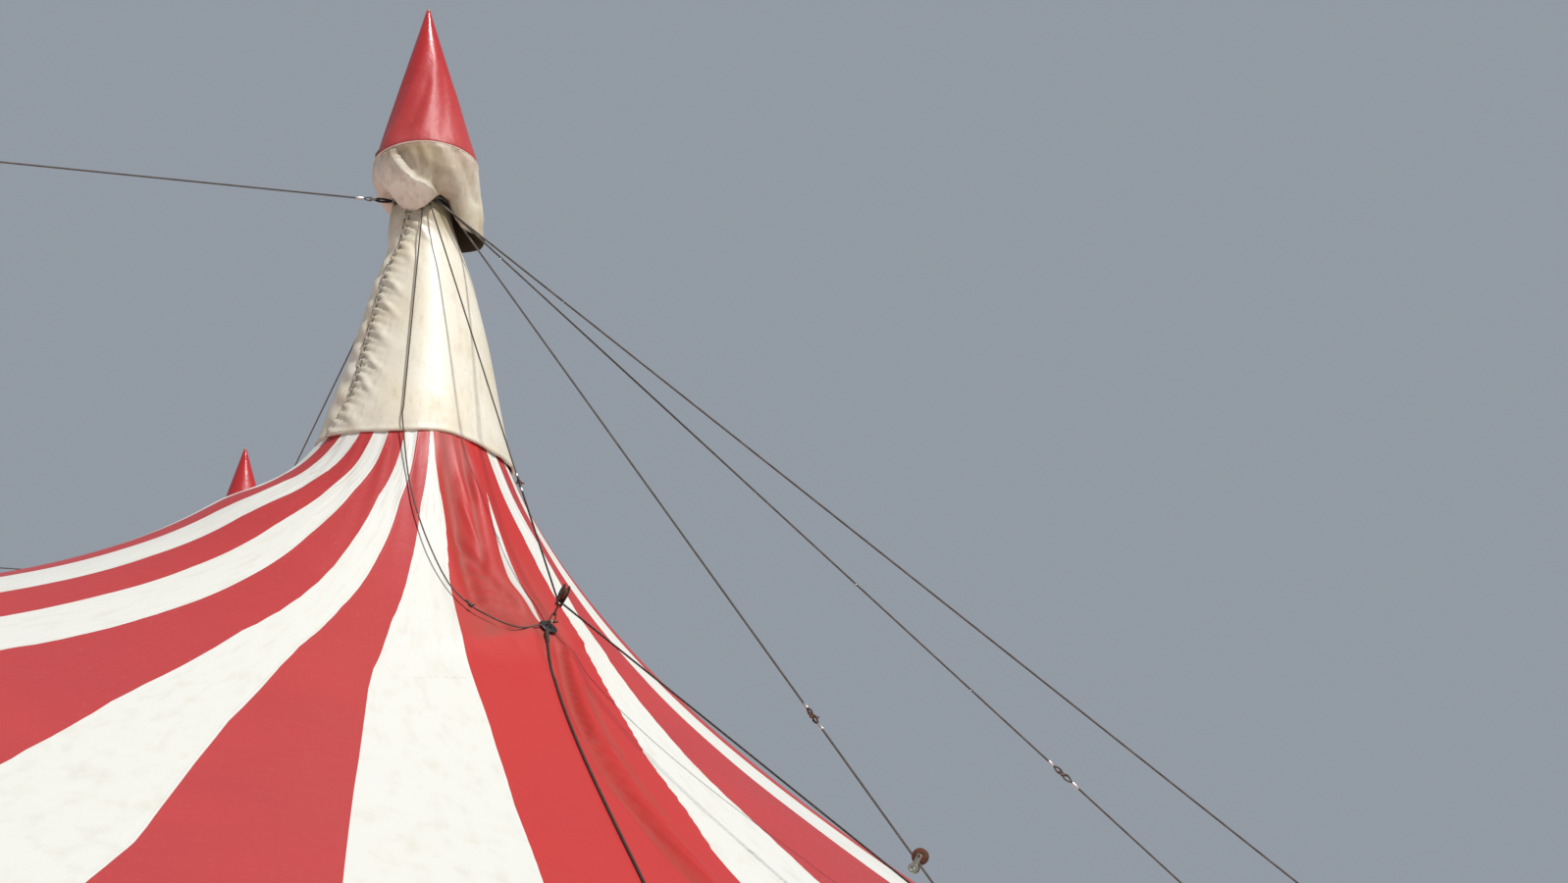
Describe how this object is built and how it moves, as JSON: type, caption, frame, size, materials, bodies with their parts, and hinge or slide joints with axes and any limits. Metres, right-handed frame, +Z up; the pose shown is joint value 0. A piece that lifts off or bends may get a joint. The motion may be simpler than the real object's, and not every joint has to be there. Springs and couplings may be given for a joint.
{
  "type": "circus big top tent",
  "caption": "Round striped circus big top on tall masts, with red cone caps, flared cowls, guy wires, a round eave on side poles and an open bay at the front and back.",
  "frame": {"origin": "centre of the round tent at ground level", "axes": "+Z up; the front open bay faces -Y and the back one +Y; +X to the right seen from the front"},
  "size_m": [38.2346, 38.2346, 12.6],
  "materials": {
    "mast_steel": "galvanised tube",
    "ring_steel": "galvanised",
    "cone_membrane": "glossy red coated fabric",
    "skirt_membrane": "dirty cream coated fabric",
    "cowl_membrane": "cream coated fabric",
    "roof_membrane": "red and white striped coated fabric",
    "wire_steel": "weathered stranded wire",
    "block_steel": "rusty",
    "dark_rope": "braided, weathered",
    "pole_steel": "galvanised tube",
    "strap_webbing": "woven webbing",
    "wall_membrane": "off-white coated fabric",
    "thin_cord": "thin braided line"
  },
  "bodies": {
    "root": {"king_pole_front_right": "mast_steel", "king_pole_back_right": "mast_steel", "king_pole_back_left": "mast_steel", "king_pole_front_left": "mast_steel", "bale_ring_front_right": "ring_steel", "bale_ring_back_right": "ring_steel", "bale_ring_back_left": "ring_steel", "bale_ring_front_left": "ring_steel", "cap_cone_front_right": "cone_membrane", "cap_cone_back_right": "cone_membrane", "cap_cone_back_left": "cone_membrane", "cap_cone_front_left": "cone_membrane", "cap_skirt_front_right": "skirt_membrane", "cap_skirt_back_right": "skirt_membrane", "cap_skirt_back_left": "skirt_membrane", "cap_skirt_front_left": "skirt_membrane", "cowl_front_right": "cowl_membrane", "cowl_back_right": "cowl_membrane", "cowl_back_left": "cowl_membrane", "cowl_front_left": "cowl_membrane", "roof_quarter_front_right": "roof_membrane", "roof_quarter_back_right": "roof_membrane", "roof_quarter_back_left": "roof_membrane", "roof_quarter_front_left": "roof_membrane", "mast_guys_front_right": "wire_steel", "mast_guys_back_right": "wire_steel", "mast_guys_back_left": "wire_steel", "mast_guys_front_left": "wire_steel", "lift_block_front_right": "block_steel", "lift_block_back_right": "block_steel", "lift_block_back_left": "block_steel", "lift_block_front_left": "block_steel", "lift_line_front_right": "wire_steel", "lift_line_back_right": "wire_steel", "lift_line_back_left": "wire_steel", "lift_line_front_left": "wire_steel", "hold_down_rope_front_right": "dark_rope", "hold_down_rope_back_right": "dark_rope", "hold_down_rope_back_left": "dark_rope", "hold_down_rope_front_left": "dark_rope", "side_poles_front_right": "pole_steel", "side_poles_back_right": "pole_steel", "side_poles_back_left": "pole_steel", "side_poles_front_left": "pole_steel", "eave_rigging_front_right": "strap_webbing", "eave_rigging_back_right": "strap_webbing", "eave_rigging_back_left": "strap_webbing", "eave_rigging_front_left": "strap_webbing", "side_wall_front_right": "wall_membrane", "side_wall_back_right": "wall_membrane", "side_wall_back_left": "wall_membrane", "side_wall_front_left": "wall_membrane", "slack_line": "thin_cord"}
  },
  "joints": []
}
